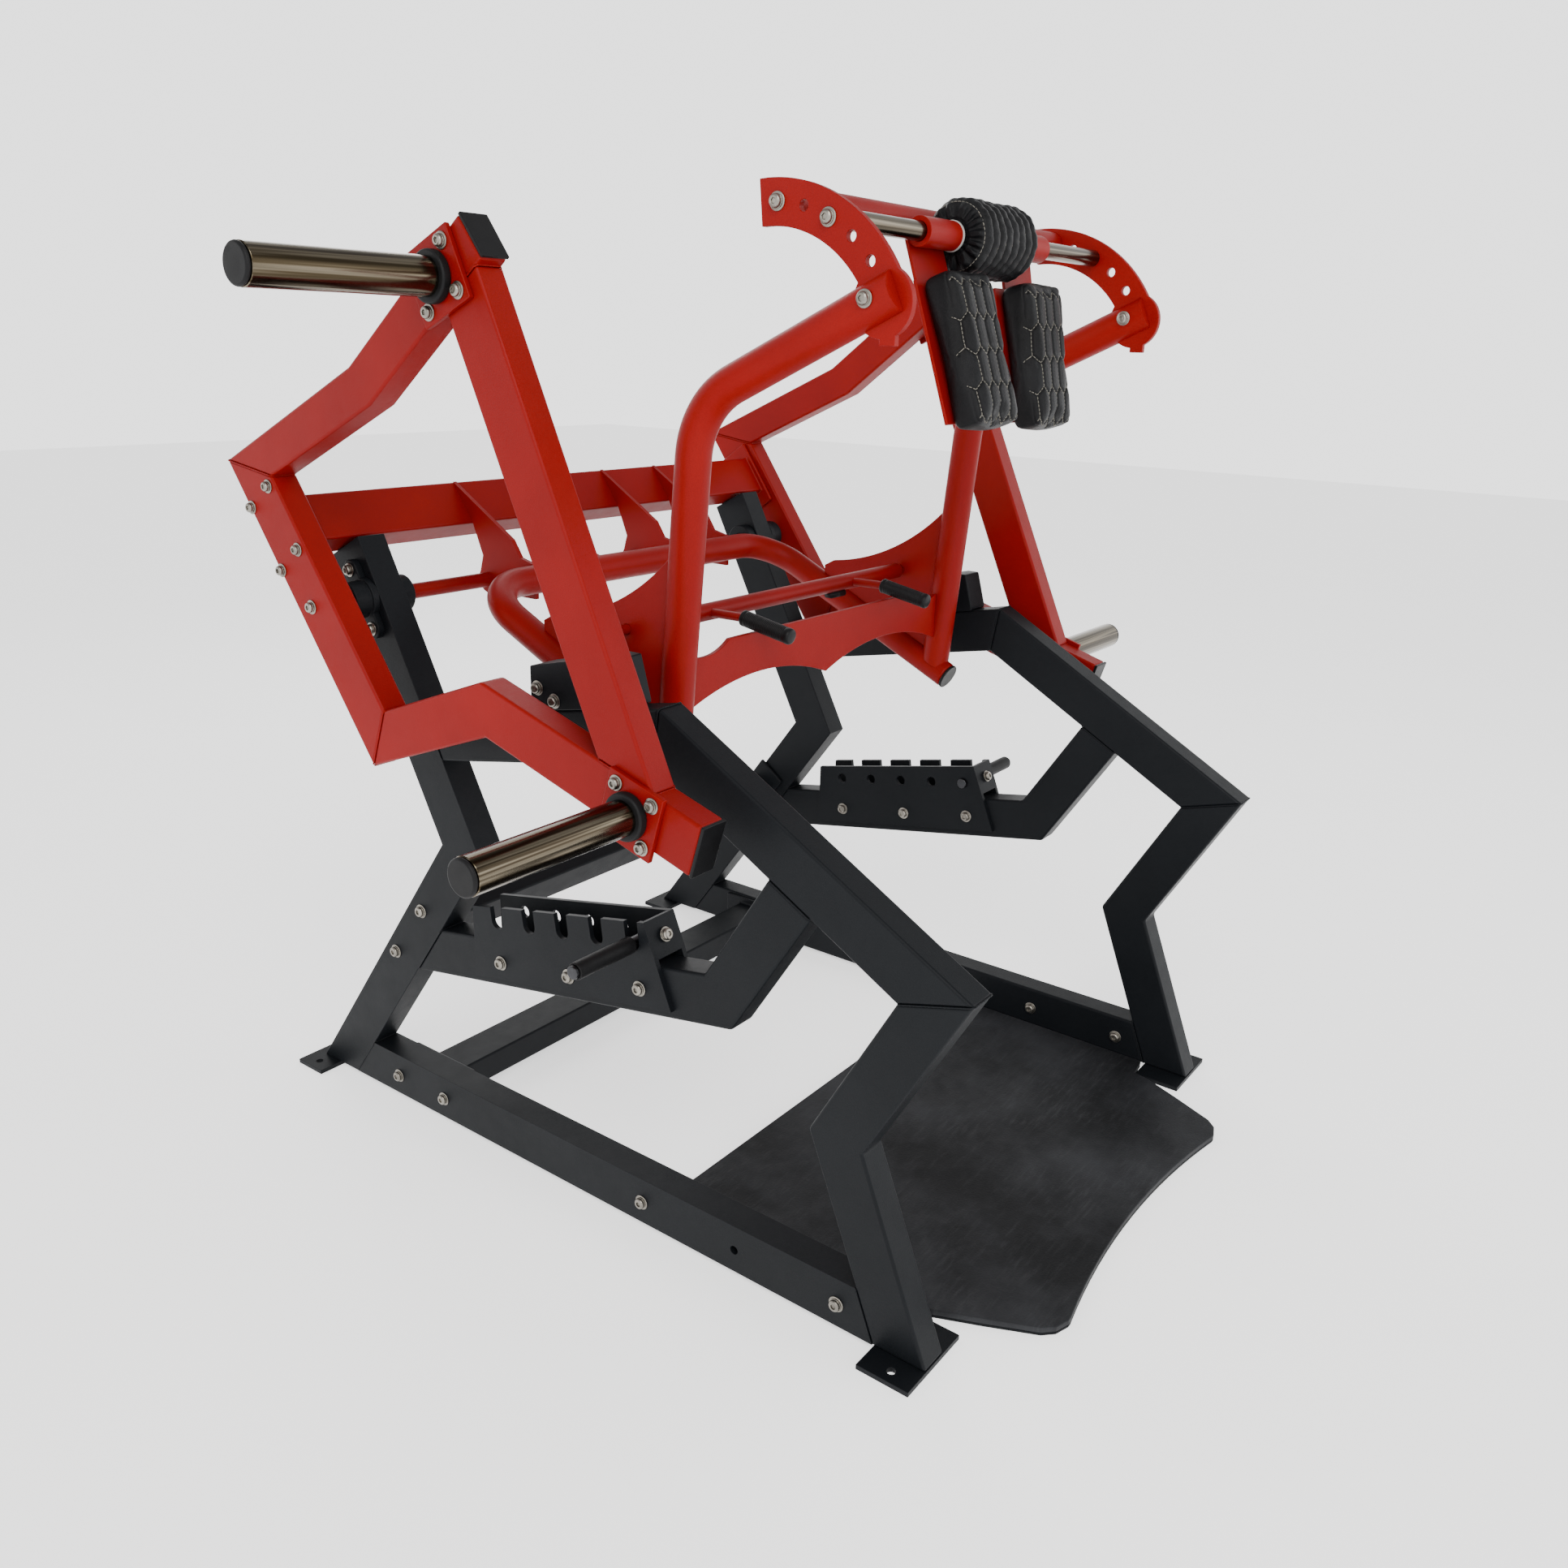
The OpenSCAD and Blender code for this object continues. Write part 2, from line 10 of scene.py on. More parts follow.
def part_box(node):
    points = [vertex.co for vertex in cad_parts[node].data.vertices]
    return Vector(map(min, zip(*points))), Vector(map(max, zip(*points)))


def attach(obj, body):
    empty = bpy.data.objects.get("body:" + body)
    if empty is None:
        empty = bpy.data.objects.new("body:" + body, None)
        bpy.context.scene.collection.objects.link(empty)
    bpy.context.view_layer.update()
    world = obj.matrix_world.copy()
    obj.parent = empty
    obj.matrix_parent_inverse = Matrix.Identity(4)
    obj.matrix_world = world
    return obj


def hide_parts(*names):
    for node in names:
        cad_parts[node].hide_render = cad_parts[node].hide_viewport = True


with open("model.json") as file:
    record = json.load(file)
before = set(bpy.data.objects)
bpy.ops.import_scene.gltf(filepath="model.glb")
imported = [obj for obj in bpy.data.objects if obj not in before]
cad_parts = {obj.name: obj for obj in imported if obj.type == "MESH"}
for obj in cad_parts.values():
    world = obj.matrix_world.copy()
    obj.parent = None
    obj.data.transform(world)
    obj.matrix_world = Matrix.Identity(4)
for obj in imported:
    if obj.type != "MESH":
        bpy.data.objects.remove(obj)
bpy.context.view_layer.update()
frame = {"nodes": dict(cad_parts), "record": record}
NODES = frame["nodes"]
SIDES = ("left", "right")
X_AXIS = Vector((1, 0, 0))
TURN = 2 * math.pi
coll = bpy.context.scene.collection


# ---------------------------------------------------------------- camera
EYE = Vector((-1.780, -1.2925, 1.3236))
LOOK = Vector((0.764, 0.555, -0.329))
LOOK_RIGHT = Vector((0.595, -0.803, 0.027))
LENS, SENSOR = 30.05, 36.0
SHIFT_X, SHIFT_Y = -0.0037, 0.0089


def make_camera():
    """The camera that took the photo, in the frame's metres."""
    fwd = LOOK.normalized()
    right = (LOOK_RIGHT - fwd * LOOK_RIGHT.dot(fwd)).normalized()
    up = right.cross(fwd)
    data = bpy.data.cameras.new("photo_camera")
    data.sensor_width = SENSOR
    data.lens = LENS
    data.shift_x = SHIFT_X
    data.shift_y = SHIFT_Y
    data.dof.use_dof = False
    data.clip_start = 0.05
    data.clip_end = 50
    cam = bpy.data.objects.new("photo_camera", data)
    coll.objects.link(cam)
    place = Matrix((right, up, -fwd)).transposed().to_4x4()
    place.translation = EYE
    cam.matrix_world = place
    bpy.context.scene.camera = cam


make_camera()


# ---------------------------------------------------------------- materials
class Mat:
    """A principled material with short-hands for building its node tree."""

    def __init__(self, name):
        self.material = bpy.data.materials.new(name)
        self.material.use_nodes = True
        self.tree = self.material.node_tree
        self.bsdf = self.tree.nodes["Principled BSDF"]
        self.coords = self.node("ShaderNodeTexCoord").outputs["Object"]

    def node(self, kind, **settings):
        node = self.tree.nodes.new(kind)
        for key, value in settings.items():
            setattr(node, key, value)
        return node

    def link(self, output, socket):
        self.tree.links.new(output, socket)

    def set(self, name, value):
        """Gives a shader input a plain value, or links it to another node's output."""
        if isinstance(value, bpy.types.NodeSocket):
            self.link(value, self.bsdf.inputs[name])
        else:
            self.bsdf.inputs[name].default_value = value

    def roughness(self, low, spread, noise):
        """Roughness that follows a noise upward from low."""
        self.set("Roughness", self.math("MULTIPLY_ADD", noise, spread, low))

    def stretched(self, scale, turn=0.0):
        """Object coordinates scaled by axis and turned about Z, for streaks."""
        node = self.node("ShaderNodeMapping")
        node.inputs["Scale"].default_value = scale
        node.inputs["Rotation"].default_value = (0, 0, turn)
        self.link(self.coords, node.inputs["Vector"])
        return node.outputs["Vector"]

    def noise(self, scale, detail, rough=0.5, coords=None):
        node = self.node("ShaderNodeTexNoise")
        node.inputs["Scale"].default_value = scale
        node.inputs["Detail"].default_value = detail
        node.inputs["Roughness"].default_value = rough
        self.link(coords or self.coords, node.inputs["Vector"])
        return node.outputs["Fac"]

    def cells(self, scale, feature, output):
        """A Voronoi pattern's output."""
        node = self.node("ShaderNodeTexVoronoi", feature=feature)
        node.inputs["Scale"].default_value = scale
        self.link(self.coords, node.inputs["Vector"])
        return node.outputs[output]

    def ramp(self, fac, stops):
        """Colour ramp over fac; stops are (position, grey level or colour)."""
        node = self.node("ShaderNodeValToRGB")
        elements = node.color_ramp.elements
        while len(elements) < len(stops):
            elements.new(0.5)
        for element, (position, shade) in zip(elements, stops):
            element.position = position
            grey = isinstance(shade, (int, float))
            element.color = (shade, shade, shade, 1) if grey else (*shade, 1)
        self.link(fac, node.inputs["Fac"])
        return node.outputs["Color"]

    def math(self, operation, *values):
        node = self.node("ShaderNodeMath", operation=operation)
        for socket, value in zip(node.inputs, values):
            if isinstance(value, (int, float)):
                socket.default_value = value
            else:
                self.link(value, socket)
        return node.outputs[0]

    def mix(self, fac, a, b, mode="MIX"):
        """Mix of the colours a and b; each of the three is a value or a node's output."""
        node = self.node("ShaderNodeMix", data_type="RGBA", blend_type=mode)
        fac_in, a_in, b_in = node.inputs[0], node.inputs[6], node.inputs[7]
        for socket, value in ((fac_in, fac), (a_in, a), (b_in, b)):
            if isinstance(value, (int, float)):
                socket.default_value = value
            elif isinstance(value, tuple):
                socket.default_value = (*value, 1)
            else:
                self.link(value, socket)
        return node.outputs[2]

    def bump(self, height, strength, distance, under=None):
        """Bump normal from height, on top of the bump under."""
        node = self.node("ShaderNodeBump")
        node.inputs["Strength"].default_value = strength
        node.inputs["Distance"].default_value = distance
        self.link(height, node.inputs["Height"])
        if under is not None:
            self.link(under, node.inputs["Normal"])
        return node.outputs["Normal"]


def powder(name, light, dark, rough, edge):
    """Powder coat: orange-peel bump, broad shade drift, chips in a few zones, faint scuffs."""
    mat = Mat(name)
    drift = mat.ramp(mat.noise(4.5, 5), [(0.3, dark), (0.7, light)])
    speck = mat.ramp(mat.noise(950, 2), [(0.42, 0.86), (0.6, 1.0)])
    col = mat.mix(1.0, drift, speck, "MULTIPLY")
    chip = mat.ramp(mat.noise(210, 7, 0.75), [(0.70, 0.0), (0.76, 0.7)])
    zone = mat.ramp(mat.noise(7, 4, 0.6), [(0.55, 0.0), (0.72, 1.0)])
    col = mat.mix(mat.math("MULTIPLY", zone, chip), col, edge)
    scuff = mat.ramp(mat.noise(23, 8, 0.75), [(0.58, 0.0), (0.75, 0.05)])
    pale = tuple(min(1.0, c * 1.5 + 0.012) for c in light)
    mat.set("Base Color", mat.mix(scuff, col, pale))
    mat.roughness(rough - 0.08, 0.16, mat.noise(30, 6, 0.6))
    peel = mat.bump(mat.noise(650, 3), 0.32, 0.0006)
    mat.set("Normal", mat.bump(mat.noise(70, 3), 0.12, 0.001, peel))
    mat.set("Specular IOR Level", 0.10)
    return mat.material


def metal(name, col, rough, tarnish, line_scale, strength):
    """Turned metal: fine lines, stretched by line_scale, and blotches down to tarnish."""
    mat = Mat(name)
    blot = mat.ramp(mat.noise(35, 6, 0.65), [(0.4, 1.0), (0.75, tarnish)])
    mat.set("Base Color", mat.mix(1.0, col, blot, "MULTIPLY"))
    mat.set("Metallic", 1.0)
    mat.roughness(rough - 0.06, 0.18, mat.noise(18, 5))
    mat.set("Normal", mat.bump(mat.noise(1.0, 3, 0.6, mat.stretched(line_scale)), strength, 0.0004))
    return mat.material


def chrome(name):
    """Hard chrome on a bar along X, with painted reflections: bright and dark streaks along its length, in
    brown tones.
    """
    mat = Mat(name)
    # painted reflections: the near black, brown, bright and dull bands round the bar stand in for the
    # surround that it reflects
    painted_reflection = mat.noise(1.0, 3, 0.55, mat.stretched((0.8, 75, 75)))
    near_black = (0.016, 0.012, 0.007)
    brown = (0.050, 0.038, 0.022)
    bright = (0.17, 0.145, 0.105)
    dark_brown = (0.038, 0.029, 0.018)
    dull = (0.085, 0.070, 0.050)
    mat.set("Base Color", mat.ramp(painted_reflection, [(0.30, near_black), (0.44, brown), (0.55, bright),
                                        (0.63, dark_brown), (0.75, dull)]))
    mat.set("Metallic", 1.0)
    mat.roughness(0.13, 0.14, mat.noise(14, 6))
    mat.set("Normal", mat.bump(mat.noise(1.0, 2, 0.5, mat.stretched((900, 60, 60))), 0.04, 0.0003))
    return mat.material


def rubber(name, col, rough, grain=900, depth=0.0004):
    """Plain rubber or plastic: shade drift about col and a fine grain."""
    mat = Mat(name)
    dark = tuple(c * 0.7 for c in col)
    light = tuple(c * 1.5 for c in col)
    mat.set("Base Color", mat.ramp(mat.noise(9, 6, 0.6), [(0.3, dark), (0.75, light)]))
    mat.roughness(rough - 0.1, 0.22, mat.noise(40, 6))
    mat.set("Normal", mat.bump(mat.noise(grain, 3), 0.4, depth))
    mat.set("Specular IOR Level", 0.14)
    return mat.material


def mat_rubber():
    """The trodden mat: pebbled rubber, pale scrapes one way and worn streaks the other."""
    mat = Mat("mat_rubber")
    dark, light = (0.0050, 0.0054, 0.0064), (0.026, 0.0272, 0.0305)
    scraped, worn_pale = (0.075, 0.077, 0.082), (0.105, 0.108, 0.115)
    broad = mat.ramp(mat.noise(3.2, 8, 0.62), [(0.38, dark), (0.64, light)])
    scrape = mat.ramp(mat.noise(1.0, 7, 0.7, mat.stretched((14, 90, 14), 0.7)), [(0.55, 0.0), (0.80, 0.16)])
    col = mat.mix(scrape, broad, scraped)
    worn = mat.ramp(mat.noise(1.0, 6, 0.72, mat.stretched((22, 150, 22), -0.9)), [(0.50, 0.0), (0.74, 0.20)])
    patch = mat.ramp(mat.noise(5.5, 5, 0.6), [(0.42, 0.0), (0.66, 1.0)])
    mat.set("Base Color", mat.mix(mat.math("MULTIPLY", worn, patch), col, worn_pale))
    mat.roughness(0.42, 0.35, mat.noise(12, 7, 0.6))
    mat.set("Specular IOR Level", 0.16)
    pebbles = mat.bump(mat.cells(260, "F1", "Distance"), 0.25, 0.0008)
    mat.set("Normal", mat.bump(mat.noise(500, 4), 0.25, 0.0005, pebbles))
    return mat.material


def leather():
    """Black upholstery: pebble grain over creases, a little paler on the high spots."""
    mat = Mat("pad_leather")
    grain = mat.ramp(mat.cells(620, "DISTANCE_TO_EDGE", "Distance"), [(0.0, 0.0), (0.22, 1.0)])
    dark, light, pale = (0.0022, 0.0022, 0.0026), (0.0058, 0.0060, 0.0070), (0.009, 0.009, 0.011)
    col = mat.ramp(mat.noise(16, 6), [(0.3, dark), (0.75, light)])
    pointed = mat.node("ShaderNodeNewGeometry").outputs["Pointiness"]
    high = mat.ramp(pointed, [(0.5, 0.0), (0.60, 0.25)])
    mat.set("Base Color", mat.mix(high, col, pale))
    mat.roughness(0.28, 0.2, mat.noise(26, 5))
    crease = mat.bump(mat.noise(45, 7, 0.7), 0.35, 0.0025)
    mat.set("Normal", mat.bump(grain, 0.45, 0.0004, crease))
    mat.set("Specular IOR Level", 0.13)
    return mat.material


def thread():
    """Pale twisted thread."""
    mat = Mat("stitch_thread")
    twist = mat.node("ShaderNodeTexWave", wave_type="BANDS", bands_direction="DIAGONAL")
    twist.inputs["Scale"].default_value = 900
    twist.inputs["Distortion"].default_value = 1.0
    mat.link(mat.coords, twist.inputs["Vector"])
    ply = twist.outputs["Fac"]
    dark, light = (0.10, 0.095, 0.08), (0.24, 0.225, 0.19)
    mat.set("Base Color", mat.ramp(ply, [(0.2, dark), (0.8, light)]))
    mat.set("Roughness", 0.85)
    mat.set("Normal", mat.bump(ply, 0.6, 0.0003))
    return mat.material


M = {
    "black": powder("frame_black", light=(0.0074, 0.0086, 0.0104), dark=(0.0048, 0.0058, 0.0072),
                    rough=0.46, edge=(0.045, 0.05, 0.055)),
    "red": powder("arm_red", light=(0.235, 0.0038, 0.0030), dark=(0.180, 0.0026, 0.0021),
                  rough=0.42, edge=(0.40, 0.03, 0.022)),
    "zinc": metal("zinc_bolt", (0.30, 0.28, 0.245), rough=0.32, tarnish=0.40,
                  line_scale=(60, 60, 60), strength=0.15),
    "chrome": chrome("peg_chrome"),
    "white": rubber("white_plastic", (0.34, 0.335, 0.32), rough=0.45, grain=300, depth=0.0001),
    "steel": metal("pin_steel", (0.055, 0.056, 0.060), rough=0.30, tarnish=0.6,
                   line_scale=(900, 20, 20), strength=0.10),
    "rubber": rubber("black_rubber", (0.0055, 0.0055, 0.006), rough=0.5),
    "plastic": rubber("cap_plastic", (0.0050, 0.0050, 0.0056), rough=0.40, grain=1400, depth=0.0002),
    "mat": mat_rubber(),
    "leather": leather(),
    "thread": thread(),
}

SLOT_MAT = {
    "frame_black": "black", "arm_red": "red", "zinc": "zinc", "chrome": "chrome",
    "pin_steel": "steel", "rubber": "rubber", "cap_plastic": "plastic",
    "pad_leather": "leather", "grip_rubber": "rubber",
}


def paint(obj, key):
    obj.data.materials.clear()
    obj.data.materials.append(M[key])


slot_of = {s["node"]: s["material_slot"] for s in frame["record"]["subparts"]}
for name, obj in NODES.items():
    paint(obj, SLOT_MAT[slot_of[name]])
paint(NODES["platform_mat"], "mat")


# ---------------------------------------------------------------- rounded edges on the CAD pieces
MERGE_GAP = 0.00002
FLAT_ANGLE = math.radians(0.4)
EDGE_ANGLE = math.radians(14)
PLAIN_ROUND = 0.0015
# edge radius, and the last words of the names of the nodes that have it
ROUND = {
    0.0045: "rail leg tube beam post strut collars",
    0.003: "bracket bearing",
    0.002: "mat sleeve grips",
    0.0012: "plate plates gussets rack bar",
    0.001: "platform hanger shaft bolts",
}


def soften(obj, width):
    """Rounds the sharp edges of a CAD piece and keeps its flat faces evenly shaded."""
    for p in obj.data.polygons:
        p.use_smooth = True
    weld = obj.modifiers.new("weld", "WELD")
    weld.merge_threshold = MERGE_GAP
    flat = obj.modifiers.new("flat_faces", "DECIMATE")
    flat.decimate_type = "DISSOLVE"
    flat.angle_limit = FLAT_ANGLE
    bevel = obj.modifiers.new("edge_round", "BEVEL")
    bevel.width = width
    bevel.segments = 3
    bevel.limit_method = "ANGLE"
    bevel.angle_limit = EDGE_ANGLE
    bevel.use_clamp_overlap = True
    even = obj.modifiers.new("flat_shading", "WEIGHTED_NORMAL")
    even.mode = "FACE_AREA"
    even.weight = 100
    even.keep_sharp = True


round_of = {word: width for width, words in ROUND.items() for word in words.split()}
for name, obj in NODES.items():
    soften(obj, round_of.get(name.split("_")[-1], PLAIN_ROUND))


# ---------------------------------------------------------------- mesh helpers
def mesh_obj(name, verts, faces, key, body):
    """A smooth-shaded object that rides on a body, in the material M[key]."""
    mesh = bpy.data.meshes.new(name)
    mesh.from_pydata([tuple(v) for v in verts], [], faces)
    bm = bmesh.new()
    bm.from_mesh(mesh)
    bmesh.ops.recalc_face_normals(bm, faces=bm.faces)
    bm.to_mesh(mesh)
    bm.free()
    mesh.polygons.foreach_set("use_smooth", [True] * len(mesh.polygons))
    obj = bpy.data.objects.new(name, mesh)
    coll.objects.link(obj)
    obj.data.materials.append(M[key])
    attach(obj, body)
    return obj


def box_of(points):
    """Lowest and highest corner of a list of points."""
    lo = Vector([min(p[i] for p in points) for i in range(3)])
    hi = Vector([max(p[i] for p in points) for i in range(3)])
    return lo, hi


def node_box(name):
    """Lowest corner, highest corner and middle of a CAD node at rest."""
    lo, hi = (Vector(v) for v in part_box(name))
    return lo, hi, (lo + hi) / 2


def ring(centre, u, w, radii):
    """Points round centre in the plane of u and w, one for each radius."""
    out = []
    for k, r in enumerate(radii):
        t = TURN * k / len(radii)
        out.append(centre + (u * math.cos(t) + w * math.sin(t)) * r)
    return out


def skin(faces, base, rows, sides, closed=False):
    """Adds the quads between neighbouring rings, the first ring starting at vertex base."""
    for i in range(rows if closed else rows - 1):
        here = base + i * sides
        there = base + (i + 1) % rows * sides
        for k in range(sides):
            after = (k + 1) % sides
            faces.append((here + k, here + after, there + after, there + k))


def end_faces(faces, base, rows, sides):
    """Adds one face over the first ring and one over the last."""
    faces.append(tuple(base + k for k in range(sides))[::-1])
    faces.append(tuple(base + (rows - 1) * sides + k for k in range(sides)))


def tube_rings(verts, faces, points, radii, sides, closed=False):
    """Adds a tube along points to verts and faces; radii is one number per point."""
    n = len(points)
    base = len(verts)
    skew = Vector((0.13, 0.97, 0.2))    # X takes over where a tube runs along this
    for i, p in enumerate(points):
        before = points[(i - 1) % n] if (closed or i > 0) else p
        after = points[(i + 1) % n] if (closed or i < n - 1) else p
        t = (after - before).normalized()
        u = t.cross(skew)
        if u.length < 0.1:
            u = t.cross(X_AXIS)
        u.normalize()
        verts += ring(p, u, t.cross(u), [radii[i]] * sides)
    skin(faces, base, n, sides, closed)
    if not closed:
        end_faces(faces, base, n, sides)


def lathe(verts, faces, origin, axis, profile, sides):
    """Adds a closed turned solid: profile is (distance along axis, radius)."""
    axis = Vector(axis).normalized()
    u = axis.cross(Vector((0, 0, 1)))
    if u.length < 0.05:
        u = axis.cross(Vector((0, 1, 0)))
    u.normalize()
    w = axis.cross(u)
    base = len(verts)
    for d, r in profile:
        verts += ring(origin + axis * d, u, w, [r] * sides)
    skin(faces, base, len(profile), sides)
    end_faces(faces, base, len(profile), sides)


def islands(name):
    """Vertex clusters of the separate solids in one CAD node."""
    bm = bmesh.new()
    bm.from_mesh(NODES[name].data)
    bmesh.ops.remove_doubles(bm, verts=bm.verts, dist=1e-5)
    bm.verts.ensure_lookup_table()
    seen = set()
    out = []
    for v in bm.verts:
        if v.index in seen:
            continue
        stack, part = [v], []
        seen.add(v.index)
        while stack:
            c = stack.pop()
            part.append(c.co.copy())
            for e in c.link_edges:
                o = e.other_vert(c)
                if o.index not in seen:
                    seen.add(o.index)
                    stack.append(o)
        out.append(part)
    bm.free()
    return out


def rounded_box(size, r, segments, profile):
    """A box about the origin with bevelled edges, as a bmesh."""
    bm = bmesh.new()
    bmesh.ops.create_cube(bm, size=1.0)
    for v in bm.verts:
        v.co = Vector(c * s for c, s in zip(v.co, size))
    bmesh.ops.bevel(bm, geom=list(bm.edges), offset=r, segments=segments, affect="EDGES", profile=profile)
    return bm


def bake(obj):
    """Applies the object's modifiers to its mesh."""
    dg = bpy.context.evaluated_depsgraph_get()
    mesh = bpy.data.meshes.new_from_object(obj.evaluated_get(dg))
    old = obj.data
    obj.modifiers.clear()
    obj.data = mesh
    bpy.data.meshes.remove(old)


# ---------------------------------------------------------------- bolts
BOLT_SIDES = 36
WASHER_SHARE = 0.20                     # the washer's part of a bolt's height
SOCKET_R = 0.42                         # flat of the hex socket, as a part of the head's radius
X_BOLT_MAX = 0.012                      # a bolt that is longer than this in X doesn't lie along X
RACK_LEAN = math.radians(66.9)          # the rack's front bolt leans with its plate
END_DEPTH = 0.0005
SAME_RADIUS = 0.0001
WASHER_OVER_HEAD = 1.25


def bolt(verts, faces, base, axis, washer_r, head_r, height):
    """Washer, spring washer and a button head with a hex socket, standing on base along axis."""
    hw = height * WASHER_SHARE
    lathe(verts, faces, base, axis,
          [(0, washer_r * 0.96), (hw * 0.2, washer_r), (hw * 0.8, washer_r),
           (hw, washer_r * 0.95), (hw, head_r * 0.6)], BOLT_SIDES)
    lathe(verts, faces, base + axis * hw, axis,
          [(0, head_r * 0.98), (hw * 0.3, head_r * 1.06), (hw * 0.9, head_r * 1.06),
           (hw * 1.1, head_r * 0.97)], BOLT_SIDES)

    def hex_r(k):
        """The socket's radius at corner k of the ring, out of BOLT_SIDES."""
        from_flat = (TURN * k / BOLT_SIDES + math.pi / 6) % (math.pi / 3) - math.pi / 6
        return SOCKET_R / math.cos(from_flat)

    u = axis.cross(Vector((0, 0.3, 1))).normalized()
    w = axis.cross(u)
    foot = base + axis * hw * 2.1
    head_h = height - hw * 2.1
    first = len(verts)
    dome = [(0.0, 0.98), (0.10, 1.0), (0.45, 0.99), (0.70, 0.93), (0.88, 0.82), (0.97, 0.68), (1.0, 0.56)]
    socket = [(1.0, 1.06), (0.96, 1.0), (0.50, 0.98)]
    for d, r in dome:
        verts += ring(foot + axis * d * head_h, u, w, [r * head_r] * BOLT_SIDES)
    for d, scale in socket:
        verts += ring(foot + axis * d * head_h, u, w,
                      [hex_r(k) * scale * head_r for k in range(BOLT_SIDES)])
    rows = len(dome) + len(socket)
    skin(faces, first, rows, BOLT_SIDES)
    end_faces(faces, first, rows, BOLT_SIDES)


def end_radius(part, centre, axis, at):
    """Largest distance from the axis through centre, among the points close to at along it."""
    out = 0.0
    for p in part:
        along = (p - centre).dot(axis)
        if abs(along - at) < END_DEPTH:
            out = max(out, ((p - centre) - axis * along).length)
    return out


def bolts_for(node, body):
    """Detailed bolts in place of the plain turned ones of a CAD node."""
    verts, faces = [], []
    for part in islands(node):
        lo, hi = box_of(part)
        if hi.x - lo.x < X_BOLT_MAX:
            axis = X_AXIS
        else:
            axis = Vector((0, -math.sin(RACK_LEAN), math.cos(RACK_LEAN)))
        centre = sum(part, Vector()) / len(part)
        along = [(p - centre).dot(axis) for p in part]
        r_low = end_radius(part, centre, axis, min(along))
        r_high = end_radius(part, centre, axis, max(along))
        height = max(along) - min(along)
        # the wide end is the washer; a bolt of one width gets a washer that is a little wider
        if abs(r_low - r_high) < SAME_RADIUS:
            up, washer_r, head_r = axis, r_low * WASHER_OVER_HEAD, r_low
        elif r_low > r_high:
            up, washer_r, head_r = axis, r_low, r_high
        else:
            up, washer_r, head_r = -axis, r_high, r_low
        bolt(verts, faces, (lo + hi) / 2 - up * (height / 2), up, washer_r, head_r, height)
    obj = mesh_obj(node + "_detail", verts, faces, "zinc", body)
    bevel = obj.modifiers.new("edge", "BEVEL")
    bevel.width = 0.0004
    bevel.segments = 2
    bevel.limit_method = "ANGLE"
    bevel.angle_limit = math.radians(35)
    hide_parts(node)


bolts_for("frame_bolts", "frame")
bolts_for("arm_bolts", "arm")


# ---------------------------------------------------------------- weld beads
BEAD_R, BEAD_STEP, BEAD_SIDES = 0.0012, 0.0011, 7
RIPPLE = 0.62                           # radians of ripple for each step along the bead
TOUCH_GAP, CORNER_GAP = 0.0006, 0.001
CORNER_CUT = 0.0042
FIRST_SEED = 4
# for each body: material, slot, and the pieces that are welded, first one ending on the second
WELDS = {
    "frame": ("black", "frame_black",
              [("diagonal_rail", "front_leg"), ("top_rail", "diagonal_rail"), ("top_rail", "rear_leg"),
               ("mid_rail", "rear_leg"), ("mid_rail", "diagonal_rail"), ("base_rail", "front_leg"),
               ("base_rail", "rear_leg")]),
    "arm": ("red", "arm_red",
            [("rear_post", "upper_arm_tube"), ("rear_post", "lower_arm_tube"),
             ("strut", "upper_arm_tube"), ("strut", "lower_arm_tube")]),
}


def weld_loop(a, b):
    """Corners of piece a's end that lie on piece b, each cut off by two points, or None."""
    bm = bmesh.new()
    bm.from_mesh(NODES[b].data)
    tree = BVHTree.FromBMesh(bm)
    bm.free()
    corners = []
    for v in NODES[a].data.vertices:
        touches = tree.find_nearest(v.co, TOUCH_GAP)[0] is not None
        if touches and not any((v.co - p).length < CORNER_GAP for p in corners):
            corners.append(v.co.copy())
    if len(corners) < 4:
        return None
    c = sum(corners, Vector()) / len(corners)
    off_x = [p - c - X_AXIS * (p - c).dot(X_AXIS) for p in corners]
    w = max(off_x, key=lambda q: q.length).normalized()
    corners.sort(key=lambda p: math.atan2((p - c).dot(w), (p - c).dot(X_AXIS)))
    out = []
    for i, p in enumerate(corners):
        for q in (corners[i - 1], corners[(i + 1) % len(corners)]):
            to_next = q - p
            out.append(p + to_next * min(0.3, CORNER_CUT / max(to_next.length, 1e-6)))
    return out


def bead(verts, faces, loop, seed):
    """Adds a rippled bead round a closed loop of points."""
    rng = np.random.default_rng(seed)
    points = []
    for i, p in enumerate(loop):
        q = loop[(i + 1) % len(loop)]
        n = max(2, int((q - p).length / BEAD_STEP))
        points += [p.lerp(q, k / n) for k in range(n)]
    radii = []
    for i in range(len(points)):
        ripple = 0.82 + 0.22 * abs(math.sin(i * RIPPLE))
        radii.append(BEAD_R * ripple * (1 + 0.08 * rng.standard_normal()))
    tube_rings(verts, faces, points, radii, BEAD_SIDES, closed=True)


def weld_beads(body, key, pairs):
    verts, faces = [], []
    sided = [(side + "_" + a, side + "_" + b) for side in SIDES for a, b in pairs]
    for seed, (a, b) in enumerate(sided, FIRST_SEED):
        loop = weld_loop(a, b)
        if loop:
            bead(verts, faces, loop, seed)
    mesh_obj(body + "_weld_beads", verts, faces, key, body)


for body, (key, slot, pairs) in WELDS.items():
    weld_beads(body, key, pairs)


# ---------------------------------------------------------------- stitching
STITCH_GAP = 0.0010
STITCH_RISE = 0.0006
THREAD_SIDES = 6


